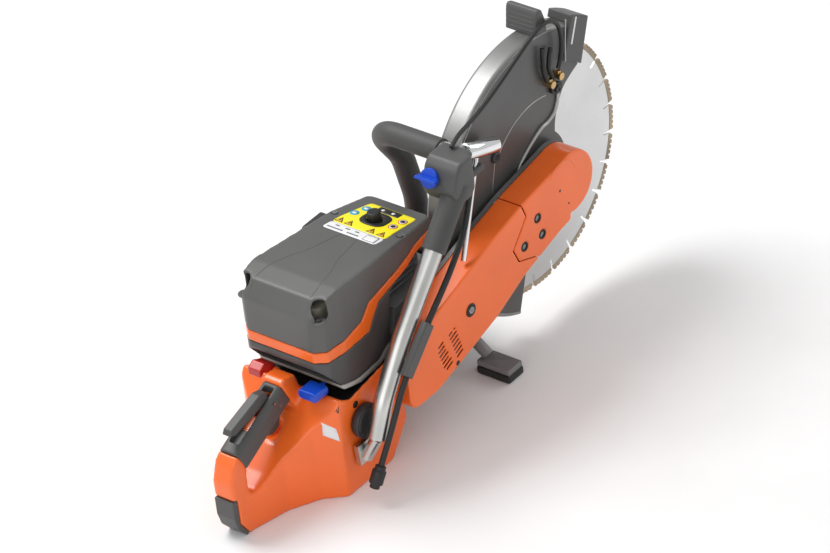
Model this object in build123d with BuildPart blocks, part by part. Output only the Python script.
"""Petrol rescue saw: a 350 mm diamond blade on a belt-driven arm, with a tilting guard and two handles.

Millimetres. +X runs forward from the rear handle to the blade, +Y to the machine's left, +Z up.
The origin is on the ground, under the middle of the whole machine.
"""
from math import atan2, cos, degrees, hypot, pi, radians, sin
import os

from build123d import *

os.makedirs("parts", exist_ok=True)

# Driving dimensions -------------------------------------------------------------------------
blade_x, blade_y, blade_z = 206, -50, 222    # centre of the cutting blade
blade_radius = 175                           # a 350 mm blade
blade_thickness = 3.2
segment_count = 26
segment_height = 7.5

guard_radius = 195
guard_right_y, guard_left_y = -66, -34
guard_wall = 3

crank_x, crank_z = -55, 148                  # engine shaft
arm_inner_y, arm_outer_y = -74, -118         # faces of the belt arm
cover_wall = 3
belt_right_y, belt_left_y = -99, -86
drive_pulley_radius, driven_pulley_radius = 15.5, 31
belt_thickness = 4
shaft_radius = 10
neck_radius = 26                             # bearing neck that carries the guard
running_gap = 0.05

tank_right_y = -80
tube_radius, rubber_radius = 12.5, 15.5
hose_radius = 4


# Helpers ------------------------------------------------------------------------------------
def side(y):
    """The plane across the machine at y, seen from its right: local x forward, local y up."""
    return Plane(origin=(0, y, 0), x_dir=(1, 0, 0), z_dir=(0, -1, 0))


def disc(x, z, radius, y_left, y_right, mode=Mode.ADD):
    """A round solid whose axis lies across the machine."""
    with BuildSketch(side(y_left)) as face:
        with Locations((x, z)):
            Circle(radius)
    extrude(face.sketch, amount=y_left - y_right, mode=mode)


def slab(points, y_left, y_right, mode=Mode.ADD):
    """A side outline of (x, z) corners, carried across the machine from y_left to y_right."""
    with BuildSketch(side(y_left)) as face:
        with BuildLine():
            Polyline(*points, close=True)
        make_face()
    extrude(face.sketch, amount=y_left - y_right, mode=mode)


def block(low, high, mode=Mode.ADD):
    """A box between two corners."""
    middle = [(a + b) / 2 for a, b in zip(low, high)]
    with Locations(tuple(middle)):
        Box(*[b - a for a, b in zip(low, high)], mode=mode)


def plan(points, z_low, z_high, mode=Mode.ADD):
    """A symmetrical plan outline, given by its (x, y) corners on the left, between two heights."""
    mirrored = [(x, -y) for x, y in reversed(points)]
    with BuildSketch(Plane.XY.offset(z_low)) as face:
        with BuildLine():
            Polyline(*points, *mirrored, close=True)
        make_face()
    extrude(face.sketch, amount=z_high - z_low, mode=mode)


def along(start, end):
    """The plane at start whose normal points to end."""
    return Plane(origin=start, z_dir=Vector(*end) - Vector(*start))


def bar(start, end, radius, mode=Mode.ADD):
    """A round bar between two points."""
    with BuildSketch(along(start, end)) as face:
        Circle(radius)
    extrude(face.sketch, amount=(Vector(*end) - Vector(*start)).length, mode=mode)


def polar(radius, angle, centre=(blade_x, blade_z)):
    """The (x, z) point at a radius and an angle, in degrees, around the blade's axis."""
    return (centre[0] + radius * cos(radians(angle)), centre[1] + radius * sin(radians(angle)))


def bend_radii(points, share=0.45):
    """The largest arc at each corner of a route: a share of the shorter run over tan(half the turn)."""
    radii = []
    for before, corner, after in zip(points, points[1:], points[2:]):
        run_in, run_out = Vector(*corner) - Vector(*before), Vector(*after) - Vector(*corner)
        half_turn = radians(run_in.get_angle(run_out) / 2)
        radii.append(share * min(run_in.length, run_out.length) * cos(half_turn) / sin(half_turn))
    return radii


def tube(points, radii, outer, inner=0):
    """A round tube or rod along straight runs joined by tangent arcs."""
    with BuildLine() as route:
        FilletPolyline(*points, radius=radii)
    with BuildSketch(Plane(origin=route.line @ 0, z_dir=route.line % 0)) as face:
        Circle(outer)
        if inner:
            Circle(inner, mode=Mode.SUBTRACT)
    sweep(face.sketch, path=route.line)
    return route.line.wires()[0].length


# Tank unit with the rear handle ---------------------------------------------------------------
grip_front, grip_rear = (-262, 0, 150), (-356, 0, 105)
tank_plan = [(-116, 78), (-240, 78), (-262, 52), (-300, 30), (-352, 17), (-370, 15)]
tank_side = [(-116, 43), (-116, 60), (-142, 119), (-141, 146), (-215, 135), (-235, 145), (-256, 116),
             (-285, 90), (-320, 66), (-345, 52), (-374, 60), (-374, 22), (-360, 0), (-150, 0)]
handle_side = [(-236, 150), (-242, 168), (-262, 172), (-300, 157), (-345, 134), (-372, 110), (-382, 84),
               (-382, 60), (-374, 60), (-374, 22), (-360, 0), (-344, 0), (-344, 52), (-352, 62), (-352, 88),
               (-340, 100), (-300, 122), (-272, 132), (-256, 116), (-240, 112)]
grip_plane = Plane(origin=grip_rear, x_dir=(0, 1, 0), z_dir=Vector(*grip_front) - Vector(*grip_rear))
grip_length = (Vector(*grip_front) - Vector(*grip_rear)).length
core_width, core_height = 26, 16
grip_width, grip_height = 32, 36
cap_x, cap_z, cap_radius, neck_bore = -200, 96, 23, 16

trigger_pivot, lockout_pivot = (-276, 141), (-285, 150)
pin_radius = 2
stop_pivot = (-238, 160)
trigger_slot = [(-263, 149), (-263, 88), (-322, 88), (-322, 118), (-288, 149)]
lockout_slot = [(-274, 172), (-274, 142), (-292, 142), (-350, 120), (-350, 150)]


def lever_slots():
    """Cuts the two lever slots and the holes for their pins."""
    slab(trigger_slot, 6.5, -6.5, mode=Mode.SUBTRACT)
    slab(lockout_slot, 7.5, -7.5, mode=Mode.SUBTRACT)
    disc(*trigger_pivot, pin_radius, 20, -20, mode=Mode.SUBTRACT)
    disc(*lockout_pivot, pin_radius, 20, -20, mode=Mode.SUBTRACT)


with BuildPart() as tank_unit:
    plan(tank_plan, 0, 175)
    slab(tank_side, 90, -90, mode=Mode.INTERSECT)
    slab(handle_side, 16, -16)
    with BuildSketch(grip_plane):
        Rectangle(grip_width + 20, grip_height + 26)
    extrude(amount=grip_length, mode=Mode.SUBTRACT)
    with BuildSketch(grip_plane.offset(-3)):
        Rectangle(core_width, core_height)
    extrude(amount=grip_length + 6)
    lever_slots()
    block((-232, -60, 14), (-150, 60, 100), mode=Mode.SUBTRACT)
    block((-228, -74, 122), (-110, 74, 180), mode=Mode.SUBTRACT)
    disc(*stop_pivot, 5, 23.7, 15)
    disc(cap_x, cap_z, neck_bore + 0.4, -60, tank_right_y - 5, mode=Mode.SUBTRACT)
tank_unit.part.label = "tank_unit"
export_step(tank_unit.part, "parts/tank_unit.step")

with BuildPart() as rear_bumper:
    slab([(-384, 59.8), (-374.2, 59.8), (-374.2, 21.9), (-362.3, 3.2), (-362.3, 0), (-366, 0),
          (-379, 16), (-384, 34)], 15, -15)
rear_bumper.part.label = "rear_bumper"
export_step(rear_bumper.part, "parts/rear_bumper.step")

# Grip with its trigger and lockout -----------------------------------------------------------
with BuildPart() as grip_insert:
    with BuildSketch(grip_plane):
        RectangleRounded(grip_width, grip_height, 9)
        Rectangle(core_width, core_height, mode=Mode.SUBTRACT)
    extrude(amount=grip_length)
    lever_slots()
grip_insert.part.label = "grip_insert"
export_step(grip_insert.part, "parts/grip_insert.step")

with BuildPart() as lever_pins:
    disc(*trigger_pivot, pin_radius - running_gap, 15.5, -15.5)
    disc(*lockout_pivot, pin_radius - running_gap, 15.5, -15.5)
lever_pins.part.label = "lever_pins"
export_step(lever_pins.part, "parts/lever_pins.step")

with BuildPart() as throttle_trigger:
    slab([(-270, 136), (-266, 126), (-272, 104), (-286, 100), (-306, 108.5), (-300, 114), (-284, 136)], 5.5, -5.5)
    disc(*trigger_pivot, 6, 5.5, -5.5)
    disc(*trigger_pivot, pin_radius, 6, -6, mode=Mode.SUBTRACT)
throttle_trigger.part.label = "throttle_trigger"
export_step(throttle_trigger.part, "parts/throttle_trigger.step")

with BuildPart() as throttle_lockout:
    slab([(-284, 153), (-287, 166), (-300, 169), (-358, 152), (-362, 145), (-352, 141)], 6.5, -6.5)
    disc(*lockout_pivot, 5, 6.5, -6.5)
    disc(*lockout_pivot, pin_radius, 7, -7, mode=Mode.SUBTRACT)
throttle_lockout.part.label = "throttle_lockout"
export_step(throttle_lockout.part, "parts/throttle_lockout.step")

# Fuel cap, stop switch and choke --------------------------------------------------------------
with BuildPart() as fuel_cap:
    disc(cap_x, cap_z, cap_radius, tank_right_y - 0.3, tank_right_y - 10)
    disc(cap_x, cap_z, neck_bore, -62, tank_right_y - 0.3)
fuel_cap.part.label = "fuel_cap"
export_step(fuel_cap.part, "parts/fuel_cap.step")

with BuildPart() as stop_switch:
    slab([(-232, 158), (-236, 168), (-252, 176), (-262, 170), (-262, 160), (-254, 164), (-244, 156)], 44, 24)
    disc(*stop_pivot, 6, 44, 24)
stop_switch.part.label = "stop_switch"
export_step(stop_switch.part, "parts/stop_switch.step")

with BuildPart() as choke_knob:
    with BuildSketch(Plane(origin=(-232, -44, 153), x_dir=(0, 1, 0), z_dir=(-1, 0, 0))):
        RectangleRounded(30, 13, 5)
    extrude(amount=24)
    bar((-232, -44, 153), (-222, -44, 153), 2.5)
choke_knob.part.label = "choke_knob"
export_step(choke_knob.part, "parts/choke_knob.step")

with BuildPart() as anti_vibration_mounts:
    for x, y, z in ((-106, 50, 70), (-106, -50, 70), (-106, 0, 52)):
        with BuildSketch(Plane(origin=(x - 10, y, z), x_dir=(0, 1, 0), z_dir=(1, 0, 0))):
            Circle(9)
        extrude(amount=20)
anti_vibration_mounts.part.label = "anti_vibration_mounts"
export_step(anti_vibration_mounts.part, "parts/anti_vibration_mounts.step")

# Air filter housing: lower tray, gasket, coloured band and top cover ---------------------------
housing_plan = [(8, 40), (2, 50), (-60, 60), (-200, 68), (-232, 66), (-244, 52)]
inner_plan = [(5, 37), (-1, 46.5), (-60, 56.5), (-200, 64.5), (-229, 62.5), (-240, 50)]
band_top = [(-250, 213), (-201, 211), (-163, 216), (-144, 233), (-82, 242), (-40, 252), (30, 252)]
band_bottom = [(-250, 198), (-201, 194), (-151, 193), (-126, 222), (-59, 234), (-40, 240), (30, 240)]
cover_roof = [(14, 260), (4, 268), (-60, 278), (-199, 289), (-228, 284), (-243, 264), (-250, 240)]
tray_floor = [(-100, 222), (-114, 153), (-140, 142), (-182, 142), (-216, 152), (-246, 190)]
gasket_drop = 10

roof_thickness = 4
roof_inside = [(x, z - roof_thickness) for x, z in cover_roof]
with BuildPart() as cover_hollow:
    plan(inner_plan, 190, 310)
    slab([(14, 190)] + roof_inside + [(-250, 190)], 80, -80, mode=Mode.INTERSECT)

with BuildPart() as top_cover:
    plan(housing_plan, 200, 300)
    slab(band_top + cover_roof, 80, -80, mode=Mode.INTERSECT)
    add(cover_hollow.part, mode=Mode.SUBTRACT)
    for y in (-52, 52):
        with Locations((-58.5, y, 280)):
            Cylinder(4, 30, mode=Mode.SUBTRACT)
    with Locations((-44, 0, 280)):
        Cylinder(9.5, 30, mode=Mode.SUBTRACT)
top_cover.part.label = "top_cover"
export_step(top_cover.part, "parts/top_cover.step")

with BuildPart() as orange_band:
    plan(housing_plan, 180, 270)
    plan(inner_plan, 170, 280, mode=Mode.SUBTRACT)
    slab(band_top + band_bottom[::-1], 80, -80, mode=Mode.INTERSECT)
orange_band.part.label = "orange_band"
export_step(orange_band.part, "parts/orange_band.step")

with BuildPart() as lower_housing:
    slab(band_bottom[:5] + tray_floor, 80, -80)
    plan(housing_plan, 130, 250, mode=Mode.INTERSECT)
    plan(inner_plan, 155, 250, mode=Mode.SUBTRACT)
lower_housing.part.label = "lower_housing"
export_step(lower_housing.part, "parts/lower_housing.step")

gasket_line = [(-113, 152.8), (-140, 141.8), (-182, 141.8), (-216, 151.8), (-222, 159.4)]
with BuildPart() as housing_gasket:
    slab(gasket_line + [(x + 6, z - gasket_drop) for x, z in reversed(gasket_line)], 80, -80)
    plan([(x + 1, y - 1) for x, y in housing_plan], 120, 170, mode=Mode.INTERSECT)
housing_gasket.part.label = "housing_gasket"
export_step(housing_gasket.part, "parts/housing_gasket.step")

with BuildPart() as cover_screws:
    for y in (-52, 52):
        with Locations((-58.5, y, 272)):
            Cylinder(3.8, 12)
cover_screws.part.label = "cover_screws"
export_step(cover_screws.part, "parts/cover_screws.step")

with BuildPart() as air_filter:
    block((-222, -46, 208), (-130, 46, 262))
    fillet(air_filter.edges().filter_by(Axis.Z), 12)
air_filter.part.label = "air_filter"
export_step(air_filter.part, "parts/air_filter.step")

# Engine ---------------------------------------------------------------------------------------
web_radius, chamber_radius, bearing_radius = 34, 37, 21
main_shaft_radius = 10
bore_radius = 24
with BuildPart() as carburettor:
    block((-150, -22, 172), (-112, 22, 203))
    with BuildSketch(Plane(origin=(-160, 0, 186), x_dir=(0, 1, 0), z_dir=(1, 0, 0))):
        Circle(14)
    extrude(amount=60)
    with BuildSketch(Plane(origin=(-160, 0, 186), x_dir=(0, 1, 0), z_dir=(1, 0, 0))):
        Circle(9)
    extrude(amount=60, mode=Mode.SUBTRACT)
carburettor.part.label = "carburettor"
export_step(carburettor.part, "parts/carburettor.step")

crankcase_side = [(-96, 58), (100, 58), (108, 66), (108, 84), (44, 84), (24, 110), (18, 190), (-92, 190),
                  (-98, 160), (-98, 130), (-96, 100)]


def crankcase_half(y_left, y_right):
    """One half of the crankcase: chamber, cylinder mouth and bearing seat."""
    slab(crankcase_side, y_left, y_right)
    disc(crank_x, crank_z, chamber_radius, min(y_left, 30), max(y_right, -30), mode=Mode.SUBTRACT)
    disc(crank_x, crank_z, bearing_radius, y_left, y_right, mode=Mode.SUBTRACT)
    with Locations((crank_x, 0, 188)):
        Cylinder(bore_radius, 60, mode=Mode.SUBTRACT)


with BuildPart() as crankcase_right:
    crankcase_half(0, -58)
    disc(blade_x, blade_z, guard_radius + 5, -30, -60, mode=Mode.SUBTRACT)
crankcase_right.part.label = "crankcase_right"
export_step(crankcase_right.part, "parts/crankcase_right.step")

with BuildPart() as crankcase_left:
    crankcase_half(60, 0)
crankcase_left.part.label = "crankcase_left"
export_step(crankcase_left.part, "parts/crankcase_left.step")

with BuildPart() as main_bearings:
    for y in (45, -32):
        disc(crank_x, crank_z, bearing_radius, y, y - 13)
        disc(crank_x, crank_z, main_shaft_radius + running_gap, y, y - 13, mode=Mode.SUBTRACT)
main_bearings.part.label = "main_bearings"
export_step(main_bearings.part, "parts/main_bearings.step")

with BuildPart() as crankshaft:
    disc(crank_x, crank_z, main_shaft_radius, 98, 8)
    disc(crank_x, crank_z, main_shaft_radius, -8, -113)
    disc(crank_x, crank_z, web_radius, 24, 8)
    disc(crank_x, crank_z, web_radius, -8, -24)
    disc(crank_x, crank_z - 22, 8, 8, -8)
crankshaft.part.label = "crankshaft"
export_step(crankshaft.part, "parts/crankshaft.step")

with BuildPart() as cylinder:
    with Locations((crank_x, 0, 221)):
        Cylinder(30, 62)
    for i in range(7):
        with BuildSketch(Plane.XY.offset(199 + 8 * i)):
            with Locations((crank_x, 0)):
                RectangleRounded(88, 86, 16)
        extrude(amount=3)
    with Locations((crank_x, 0, 215)):
        Cylinder(bore_radius, 50, mode=Mode.SUBTRACT)
cylinder.part.label = "cylinder"
export_step(cylinder.part, "parts/cylinder.step")

with BuildPart() as piston:
    with Locations((crank_x, 0, 217)):
        Cylinder(bore_radius - 0.1, 36)
    with Locations((crank_x, 0, 211)):
        Cylinder(bore_radius - 4, 24, mode=Mode.SUBTRACT)
piston.part.label = "piston"
export_step(piston.part, "parts/piston.step")

with BuildPart() as muffler:
    block((25, -28, 126), (80, 24, 196))
    fillet(muffler.edges().filter_by(Axis.Y), 10)
    block((56, -10, 84), (76, 10, 127))
muffler.part.label = "muffler"
export_step(muffler.part, "parts/muffler.step")

with BuildPart() as flywheel:
    disc(crank_x, crank_z, 46, 82, 64)
    for i in range(16):
        with Locations(Location((crank_x, 86, crank_z), (0, 22.5 * i, 0))):
            with Locations((36, 0, 0)):
                Box(18, 8, 2)
    disc(crank_x, crank_z, main_shaft_radius, 83, 63, mode=Mode.SUBTRACT)
flywheel.part.label = "flywheel"
export_step(flywheel.part, "parts/flywheel.step")

with BuildPart() as clutch_drum:
    disc(crank_x, crank_z, 34, -101, -113)
    disc(crank_x, crank_z, main_shaft_radius, -100, -114, mode=Mode.SUBTRACT)
clutch_drum.part.label = "clutch_drum"
export_step(clutch_drum.part, "parts/clutch_drum.step")

with BuildPart() as drive_pulley:
    disc(crank_x, crank_z, drive_pulley_radius, belt_left_y + 1, belt_right_y - 1)
    disc(crank_x, crank_z, main_shaft_radius, belt_left_y + 2, belt_right_y - 2, mode=Mode.SUBTRACT)
drive_pulley.part.label = "drive_pulley"
export_step(drive_pulley.part, "parts/drive_pulley.step")

# Recoil starter ---------------------------------------------------------------------------------
starter_y = 127
pull_x, pull_y = crank_x + 20, 108
with BuildPart() as starter_cover:
    disc(crank_x, crank_z, 66, starter_y, 64)
    slab([(-98, 60), (10, 60), (10, 190), (-98, 190)], 100, 60)
    disc(crank_x, crank_z, 60, starter_y - 4, 60, mode=Mode.SUBTRACT)
    for i in range(24):
        with Locations(Location((crank_x, starter_y, crank_z), (0, 15 * i, 0))):
            with Locations((40, 0, 0)):
                Box(26, 12, 4, mode=Mode.SUBTRACT)
    block((pull_x - 4, pull_y - 4, 195), (pull_x + 4, pull_y + 4, 240), mode=Mode.SUBTRACT)
starter_cover.part.label = "starter_cover"
export_step(starter_cover.part, "parts/starter_cover.step")

with BuildPart() as rewind_spring:
    disc(crank_x, crank_z, 30, 122, 116)
    disc(crank_x, crank_z, 14, 122, 116, mode=Mode.SUBTRACT)
rewind_spring.part.label = "rewind_spring"
export_step(rewind_spring.part, "parts/rewind_spring.step")

with BuildPart() as starter_pulley:
    disc(crank_x, crank_z, 32, 115, 101)
    disc(crank_x, crank_z, 22, 112, 104)
starter_pulley.part.label = "starter_pulley"
export_step(starter_pulley.part, "parts/starter_pulley.step")

with BuildPart() as starter_handle:
    block((pull_x - 22, pull_y - 7, 216.5), (pull_x + 22, pull_y + 7, 232))
    fillet(starter_handle.edges().filter_by(Axis.Y), 6)
    bar((pull_x, pull_y, 200), (pull_x, pull_y, 217), 2)
starter_handle.part.label = "starter_handle"
export_step(starter_handle.part, "parts/starter_handle.step")

# Belt arm ---------------------------------------------------------------------------------------
nose_radius = 43
seam = [(101.6, 248.5), (109, 228), (77, 194), (86, 172), (122, 159), (128, 152)]
arm_rear = [(-150, 100), (-144, 90), (-135, 87), (-94, 87), (-29, 104), (34, 121), (93, 146)]
arm_top = [(-150, 138), (-98, 192), (38, 233)]
pulley_run = hypot(blade_x - crank_x, blade_z - crank_z)
arm_outline = arm_rear + [(171, 167), (196, 171), (200, 264), (101.6, 248.5)] + arm_top[::-1]


def arm_shape(y_left, y_right, shrink=0):
    """The arm's whole side outline with its round nose."""
    with BuildSketch(side(y_left)) as face:
        with BuildLine():
            Polyline(*arm_outline, close=True)
        make_face()
        with Locations((blade_x, blade_z)):
            Circle(nose_radius)
        if shrink:
            offset(amount=-shrink)
    return face.sketch, y_left - y_right


bolt_places = [(130, 212), (99, 187), (136, 184)]
with BuildPart() as belt_arm:
    outline, depth = arm_shape(arm_inner_y, -80)
    extrude(outline, amount=depth)
    block((-200, -90, 0), (-110, -60, 300), mode=Mode.SUBTRACT)
    disc(blade_x, blade_z, neck_radius, -60, -84)
    disc(blade_x, blade_z, bearing_radius, -59, -85, mode=Mode.SUBTRACT)
    disc(crank_x, crank_z, 30, -58, -74)
    disc(crank_x, crank_z, 14, -57, -90, mode=Mode.SUBTRACT)
    for x, z in bolt_places:
        disc(x, z, 6, -80, -108)
        disc(x, z, 3, -74, -109, mode=Mode.SUBTRACT)
belt_arm.part.label = "belt_arm"
export_step(belt_arm.part, "parts/belt_arm.step")

cover_left_y = -80.2
front_side = seam + [(171, 160), (300, 160), (300, 300), (90, 300)]
with BuildPart() as front_bearing_cover:
    outline, depth = arm_shape(cover_left_y, arm_outer_y)
    extrude(outline, amount=depth)
    slab(front_side, -70, -130, mode=Mode.INTERSECT)
    cavity, depth = arm_shape(-70, arm_outer_y + cover_wall, cover_wall)
    extrude(cavity, amount=depth, mode=Mode.SUBTRACT)
    for x, z in bolt_places:
        disc(x, z, 9, -105, -116)
        disc(x, z, 6.3, -80, -119, mode=Mode.SUBTRACT)
front_bearing_cover.part.label = "front_bearing_cover"
export_step(front_bearing_cover.part, "parts/front_bearing_cover.step")

rear_side = [(x - 1, z) for x, z in seam] + [(128, 60), (-170, 60), (-170, 300), (100, 300)]
vent_columns = ((-70, 124), (-46, 130))
cover_bolt = (-18, 162)
with BuildPart() as rear_belt_cover:
    outline, depth = arm_shape(cover_left_y, arm_outer_y)
    extrude(outline, amount=depth)
    slab(rear_side, -70, -130, mode=Mode.INTERSECT)
    cavity, depth = arm_shape(-70, arm_outer_y + cover_wall, cover_wall)
    extrude(cavity, amount=depth, mode=Mode.SUBTRACT)
    for x, z in vent_columns:
        for i in range(7):
            with Locations(Location((x - 2 * i, -117, z - 16 + 6.4 * i), (0, -20, 0))):
                Box(18, 8, 2.6, mode=Mode.SUBTRACT)
    disc(*cover_bolt, 7, -112, -119, mode=Mode.SUBTRACT)
rear_belt_cover.part.label = "rear_belt_cover"
export_step(rear_belt_cover.part, "parts/rear_belt_cover.step")

with BuildPart() as arm_bolts:
    for x, z in bolt_places:
        disc(x, z, 5.8, -108.2, -113)
        disc(x, z, 2.9, -76, -110)
    disc(*cover_bolt, 6.8, -113, -117.5)
    disc(*cover_bolt, 3, -80.2, -114)
arm_bolts.part.label = "arm_bolts"
export_step(arm_bolts.part, "parts/arm_bolts.step")


def belt_outline(grow):
    """The loop around both pulleys, as (x, z) discs joined by their outer tangents."""
    ratio_angle = (driven_pulley_radius - drive_pulley_radius) / pulley_run
    slope = atan2(blade_z - crank_z, blade_x - crank_x)
    tilt = degrees(slope)
    lean = degrees(ratio_angle)
    small, large = drive_pulley_radius + grow, driven_pulley_radius + grow
    small_up = polar(small, tilt + 90 + lean, (crank_x, crank_z))
    small_down = polar(small, tilt - 90 - lean, (crank_x, crank_z))
    return [small_up, small_down, polar(large, tilt - 90 - lean), polar(large, tilt + 90 + lean)]


with BuildPart() as drive_belt:
    for grow, mode in ((running_gap * 6 + belt_thickness, Mode.ADD), (running_gap * 6, Mode.SUBTRACT)):
        slab(belt_outline(grow), belt_left_y, belt_right_y, mode=mode)
        disc(crank_x, crank_z, drive_pulley_radius + grow, belt_left_y, belt_right_y, mode=mode)
        disc(blade_x, blade_z, driven_pulley_radius + grow, belt_left_y, belt_right_y, mode=mode)
drive_belt.part.label = "drive_belt"
export_step(drive_belt.part, "parts/drive_belt.step")

# Blade and its shaft ------------------------------------------------------------------------------
flange_radius = 51
blade_right_y = blade_y - blade_thickness / 2
blade_left_y = blade_y + blade_thickness / 2
shaft_end_y = -40
core_radius = blade_radius - segment_height
with BuildPart() as blade_shaft:
    disc(blade_x, blade_z, shaft_radius, shaft_end_y, -102)
blade_shaft.part.label = "blade_shaft"
export_step(blade_shaft.part, "parts/blade_shaft.step")

with BuildPart() as blade_bearings:
    for y in (-61, -73):
        disc(blade_x, blade_z, bearing_radius, y, y - 8)
        disc(blade_x, blade_z, shaft_radius + running_gap, y, y - 8, mode=Mode.SUBTRACT)
blade_bearings.part.label = "blade_bearings"
export_step(blade_bearings.part, "parts/blade_bearings.step")

with BuildPart() as driven_pulley:
    disc(blade_x, blade_z, driven_pulley_radius, belt_left_y + 1, belt_right_y - 1)
    disc(blade_x, blade_z, shaft_radius, belt_left_y + 2, belt_right_y - 2, mode=Mode.SUBTRACT)
driven_pulley.part.label = "driven_pulley"
export_step(driven_pulley.part, "parts/driven_pulley.step")

with BuildPart() as blade_flanges:
    for y_left, y_right in ((blade_right_y, -57), (-43, blade_left_y)):
        disc(blade_x, blade_z, flange_radius, y_left, y_right)
        disc(blade_x, blade_z, shaft_radius, y_left + 1, y_right - 1, mode=Mode.SUBTRACT)
blade_flanges.part.label = "blade_flanges"
export_step(blade_flanges.part, "parts/blade_flanges.step")

with BuildPart() as blade_bolt:
    disc(blade_x, blade_z, 16, -37.5, shaft_end_y)
    with BuildSketch(side(-30)):
        with Locations((blade_x, blade_z)):
            RegularPolygon(11, 6)
    extrude(amount=7.5)
blade_bolt.part.label = "blade_bolt"
export_step(blade_bolt.part, "parts/blade_bolt.step")

slot_depth, slot_width = 12, 3
with BuildPart() as blade_core:
    disc(blade_x, blade_z, core_radius, blade_left_y, blade_right_y)
    disc(blade_x, blade_z, shaft_radius, 0, -100, mode=Mode.SUBTRACT)
    with BuildSketch(side(blade_left_y)):
        with Locations((blade_x, blade_z)):
            with PolarLocations(core_radius, segment_count):
                Rectangle(2 * slot_depth, slot_width)
    extrude(amount=blade_thickness, mode=Mode.SUBTRACT)
blade_core.part.label = "blade_core"
export_step(blade_core.part, "parts/blade_core.step")

segment_share = 0.86
segment_gap = 2 * pi * core_radius / segment_count * (1 - segment_share)
with BuildPart() as blade_segments:
    with BuildSketch(side(blade_left_y + 0.4)):
        with Locations((blade_x, blade_z)):
            Circle(blade_radius)
            Circle(core_radius, mode=Mode.SUBTRACT)
            with PolarLocations(core_radius, segment_count):
                Rectangle(30, segment_gap, mode=Mode.SUBTRACT)
    extrude(amount=blade_thickness + 0.8)
blade_segments.part.label = "blade_segments"
export_step(blade_segments.part, "parts/blade_segments.step")

# Guard ---------------------------------------------------------------------------------------------
guard_front_angle, guard_rear_angle = 47, 249


def sector(r_in, r_out, a_low, a_high, y_left, y_right, mode=Mode.ADD):
    """A ring sector around the blade's axis, between two angles less than half a turn apart."""
    steps = 4
    reach = 2.2 * r_out
    fan = [(blade_x, blade_z)] + [polar(reach, a_low + (a_high - a_low) * i / steps) for i in range(steps + 1)]
    with BuildSketch(side(y_left)) as face:
        with BuildLine():
            Polyline(*fan, close=True)
        make_face()
        with Locations((blade_x, blade_z)):
            Circle(r_out, mode=Mode.INTERSECT)
            if r_in:
                Circle(r_in, mode=Mode.SUBTRACT)
    extrude(face.sketch, amount=y_left - y_right, mode=mode)


hub_radius = 56
front_line = [(298.5, 319.5), (331, 401), (400, 401), (400, 319.5)]    # all that lies before the front edge
guard_edge = [(302.5, 329.5), (284.9, 322.1), (267, 311.1), (253, 290.2), (246.4, 274.5), (245, 262)]
with BuildPart() as guard_shell:
    sector(0, guard_radius, guard_front_angle, guard_rear_angle, guard_left_y, guard_right_y)
    disc(blade_x, blade_z, guard_radius - guard_wall, guard_left_y - guard_wall, guard_right_y + guard_wall,
         mode=Mode.SUBTRACT)
    disc(blade_x, blade_z, 150, guard_left_y, guard_right_y + guard_wall, mode=Mode.SUBTRACT)
    with BuildSketch(side(guard_left_y)):
        with BuildLine():
            Spline(*guard_edge)
            Polyline(guard_edge[-1], (300, 262), (400, 330), (400, 401), (331, 401), guard_edge[0])
        make_face()
    extrude(amount=guard_left_y - guard_right_y, mode=Mode.SUBTRACT)
    disc(blade_x, blade_z, hub_radius, guard_right_y + guard_wall, guard_right_y)
    disc(blade_x, blade_z, neck_radius + running_gap, -50, -70, mode=Mode.SUBTRACT)
guard_shell.part.label = "guard_shell"
export_step(guard_shell.part, "parts/guard_shell.step")

grip_left_y, grip_right_y = -22, -71
with BuildPart() as guard_grip:
    slab([(219, 408), (225, 447), (229, 452), (237, 449), (243, 430), (242, 408)], grip_left_y, grip_right_y)
    fillet(guard_grip.faces().sort_by(Axis.Y)[0].edges(), 2)
    disc(blade_x, blade_z, guard_radius, 0, -100, mode=Mode.SUBTRACT)
guard_grip.part.label = "guard_grip"
export_step(guard_grip.part, "parts/guard_grip.step")

block_inner, block_outer, block_rear_angle, block_right_y = 146, 207, 65, -71.5
with BuildPart() as guard_front_block:
    sector(block_inner, guard_radius, guard_front_angle, block_rear_angle, guard_right_y, block_right_y)
    sector(guard_radius, block_outer, guard_front_angle, block_rear_angle, guard_left_y, block_right_y)
    slab(front_line, guard_left_y, block_right_y, mode=Mode.SUBTRACT)
guard_front_block.part.label = "guard_front_block"
export_step(guard_front_block.part, "parts/guard_front_block.step")

tee_places = [(254, 342), (236, 339)]
with BuildPart() as water_fittings:
    for x, z in tee_places:
        disc(x, z, 5, guard_right_y, -78)
        with BuildSketch(Plane.XY.offset(z)):
            with Locations((x, -73)):
                Circle(3)
        extrude(amount=8)
water_fittings.part.label = "water_fittings"
export_step(water_fittings.part, "parts/water_fittings.step")

# Front handle ----------------------------------------------------------------------------------------
handle_route = [(92, 46, 84), (84, 42, 225), (75, 48, 286), (33, 53, 352), (33, -64, 352), (22, -102, 353),
                (-140, -105, 187), (-188, -106, 124), (-206, -105, 80)]
handle_bends = [100, 60, 38, 50, 28, 200, 60]
sleeve_route = [(86.5, 43.25, 181), (84, 42, 225), (75, 48, 286), (33, 53, 352), (33, -56, 352)]
with BuildPart() as front_handle_tube:
    tube(handle_route, handle_bends, tube_radius)
    bar((-206, -105, 80), (-213, -90, 50), 8)
    slab([(-222, 40), (-200, 40), (-198, 70), (-224, 70)], tank_right_y - 0.2, -87)
front_handle_tube.part.label = "front_handle_tube"
export_step(front_handle_tube.part, "parts/front_handle_tube.step")

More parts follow.
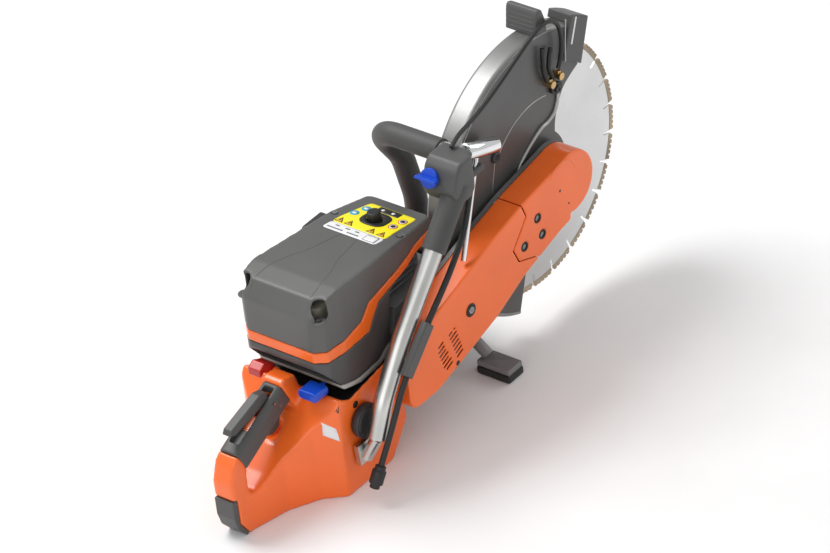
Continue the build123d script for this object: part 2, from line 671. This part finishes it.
with BuildPart() as handle_rubber:
    tube(sleeve_route, handle_bends[:3], rubber_radius, tube_radius)
    upper, lower = Vector(4, -102.3, 334.6), Vector(-58, -103.3, 271)
    with BuildSketch(Plane(origin=upper, z_dir=lower - upper)):
        Circle(rubber_radius)
        Circle(tube_radius, mode=Mode.SUBTRACT)
    extrude(amount=(lower - upper).length)
handle_rubber.part.label = "handle_rubber"
export_step(handle_rubber.part, "parts/handle_rubber.step")

valve_seat, valve_axis = Vector(-17, -78, 348), Vector(-0.94, 0, 0.336)
wrench_top, wrench_tip = Vector(68, -84, 342.5), Vector(-7, -106, 226)
wrench_axis = (wrench_tip - wrench_top).normalized()
with BuildPart() as handle_block:
    slab([(-22, 334), (-12, 362), (-2, 371), (28, 372), (38, 362), (38, 340), (12, 314), (-12, 314)], -64, -116)
    fillet(handle_block.edges().filter_by(Axis.Y), 5)
    with BuildSketch(Plane.XY.offset(300)):
        with BuildLine():
            Polyline((42, -90), (42, -120), (17, -120), close=True)
        make_face()
    extrude(amount=80, mode=Mode.SUBTRACT)
    block((14, -97, 317), (66, -78, 327))
    bar(wrench_top + wrench_axis * 10, wrench_top + wrench_axis * 60, 4, mode=Mode.SUBTRACT)
handle_block.part.label = "handle_block"
export_step(handle_block.part, "parts/handle_block.step")

with BuildPart() as water_valve_knob:
    with BuildSketch(Plane(origin=valve_seat + valve_axis * 0.8, x_dir=(0, 1, 0), z_dir=valve_axis)):
        Circle(13)
    extrude(amount=5)
    with BuildSketch(Plane(origin=valve_seat + valve_axis * 5, x_dir=(0, 1, 0), z_dir=valve_axis)):
        RectangleRounded(32, 4, 1.5)
    extrude(amount=9)
water_valve_knob.part.label = "water_valve_knob"
export_step(water_valve_knob.part, "parts/water_valve_knob.step")

head_axis = Vector(-0.935, 0, 0.354)
socket_reach, head_reach, head_radius = 24.8, 36, 11
with BuildPart() as wrench:
    bar(wrench_top, wrench_tip, 3.5)
    bar(wrench_top - head_axis * head_reach, wrench_top + head_axis * socket_reach, head_radius)
    with BuildSketch(Plane(origin=wrench_top + head_axis * socket_reach, z_dir=head_axis)):
        RegularPolygon(7.5, 6, major_radius=False)
    extrude(amount=-16, mode=Mode.SUBTRACT)
wrench.part.label = "wrench"
export_step(wrench.part, "parts/wrench.step")

# Hoses ------------------------------------------------------------------------------------------------
supply_route = [(20, -108, 321.6), (11, -107, 294), (-2, -108, 268), (-27, -113, 250), (-60, -120, 232),
                (-106, -125, 204), (-164, -125, 150), (-188, -125, 114), (-207, -123, 80), (-222, -120, 53)]
guard_route = [(18, -86, 375), (34, -83, 381), (64, -79, 381), (99, -76, 386), (138, -75, 399), (178, -75, 416),
               (212, -75.5, 430), (238, -76, 434), (258, -76, 421), (265, -75, 395), (262, -74, 368),
               (254, -73, 353)]
with BuildPart() as supply_hose:
    supply_bends = bend_radii(supply_route)
    print("supply hose", [round(r) for r in supply_bends], tube(supply_route, supply_bends, hose_radius))
supply_hose.part.label = "supply_hose"
export_step(supply_hose.part, "parts/supply_hose.step")

with BuildPart() as guard_hose:
    guard_bends = bend_radii(guard_route)
    print("guard hose", [round(r) for r in guard_bends], tube(guard_route, guard_bends, 3))
guard_hose.part.label = "guard_hose"
export_step(guard_hose.part, "parts/guard_hose.step")

hose_end = Vector(*supply_route[-1])
hose_way = (hose_end - Vector(*supply_route[-2])).normalized()
with BuildPart() as hose_connector:
    bar(hose_end, hose_end + hose_way * 6, 7)
    bar(hose_end + hose_way * 6, hose_end + hose_way * 24, 9)
    bar(hose_end + hose_way * 24, hose_end + hose_way * 30, 6.5)
hose_connector.part.label = "hose_connector"
export_step(hose_connector.part, "parts/hose_connector.step")

protector_top, protector_foot = Vector(*supply_route[5]), Vector(*supply_route[6])
protector_way = (protector_foot - protector_top).normalized()
with BuildPart() as hose_protector:
    with BuildSketch(Plane(origin=protector_top + protector_way * 4, x_dir=(0, 1, 0), z_dir=protector_way)):
        RectangleRounded(11, 20, 4)
    extrude(amount=(protector_foot - protector_top).length - 8)
    bar(protector_top, protector_foot, hose_radius + 0.8, mode=Mode.SUBTRACT)
hose_protector.part.label = "hose_protector"
export_step(hose_protector.part, "parts/hose_protector.step")

# Feet and small parts --------------------------------------------------------------------------------
with BuildPart() as support_foot:
    block((50, -26, 46), (92, 26, 58))
    for s in (1, -1):
        block((50, min(58 * s, 109 * s), 12), (78, max(58 * s, 109 * s), 20))
        bar((66, 66 * s, 20), (70, 18 * s, 50), 8)
support_foot.part.label = "support_foot"
export_step(support_foot.part, "parts/support_foot.step")

with BuildPart() as foot_pads:
    for s in (1, -1):
        block((48, min(57 * s, 110 * s), 0), (80, max(57 * s, 110 * s), 12))
foot_pads.part.label = "foot_pads"
export_step(foot_pads.part, "parts/foot_pads.step")

with BuildPart() as decompression_button:
    with Locations((-44, 0, 278)):
        Cylinder(9, 20)
    with Locations((-44, 0, 263)):
        Cylinder(3, 14)
decompression_button.part.label = "decompression_button"
export_step(decompression_button.part, "parts/decompression_button.step")

with BuildPart() as spark_plug:
    bar((crank_x - 18, 0, 250), (crank_x - 34, 0, 268), 7)
spark_plug.part.label = "spark_plug"
export_step(spark_plug.part, "parts/spark_plug.step")
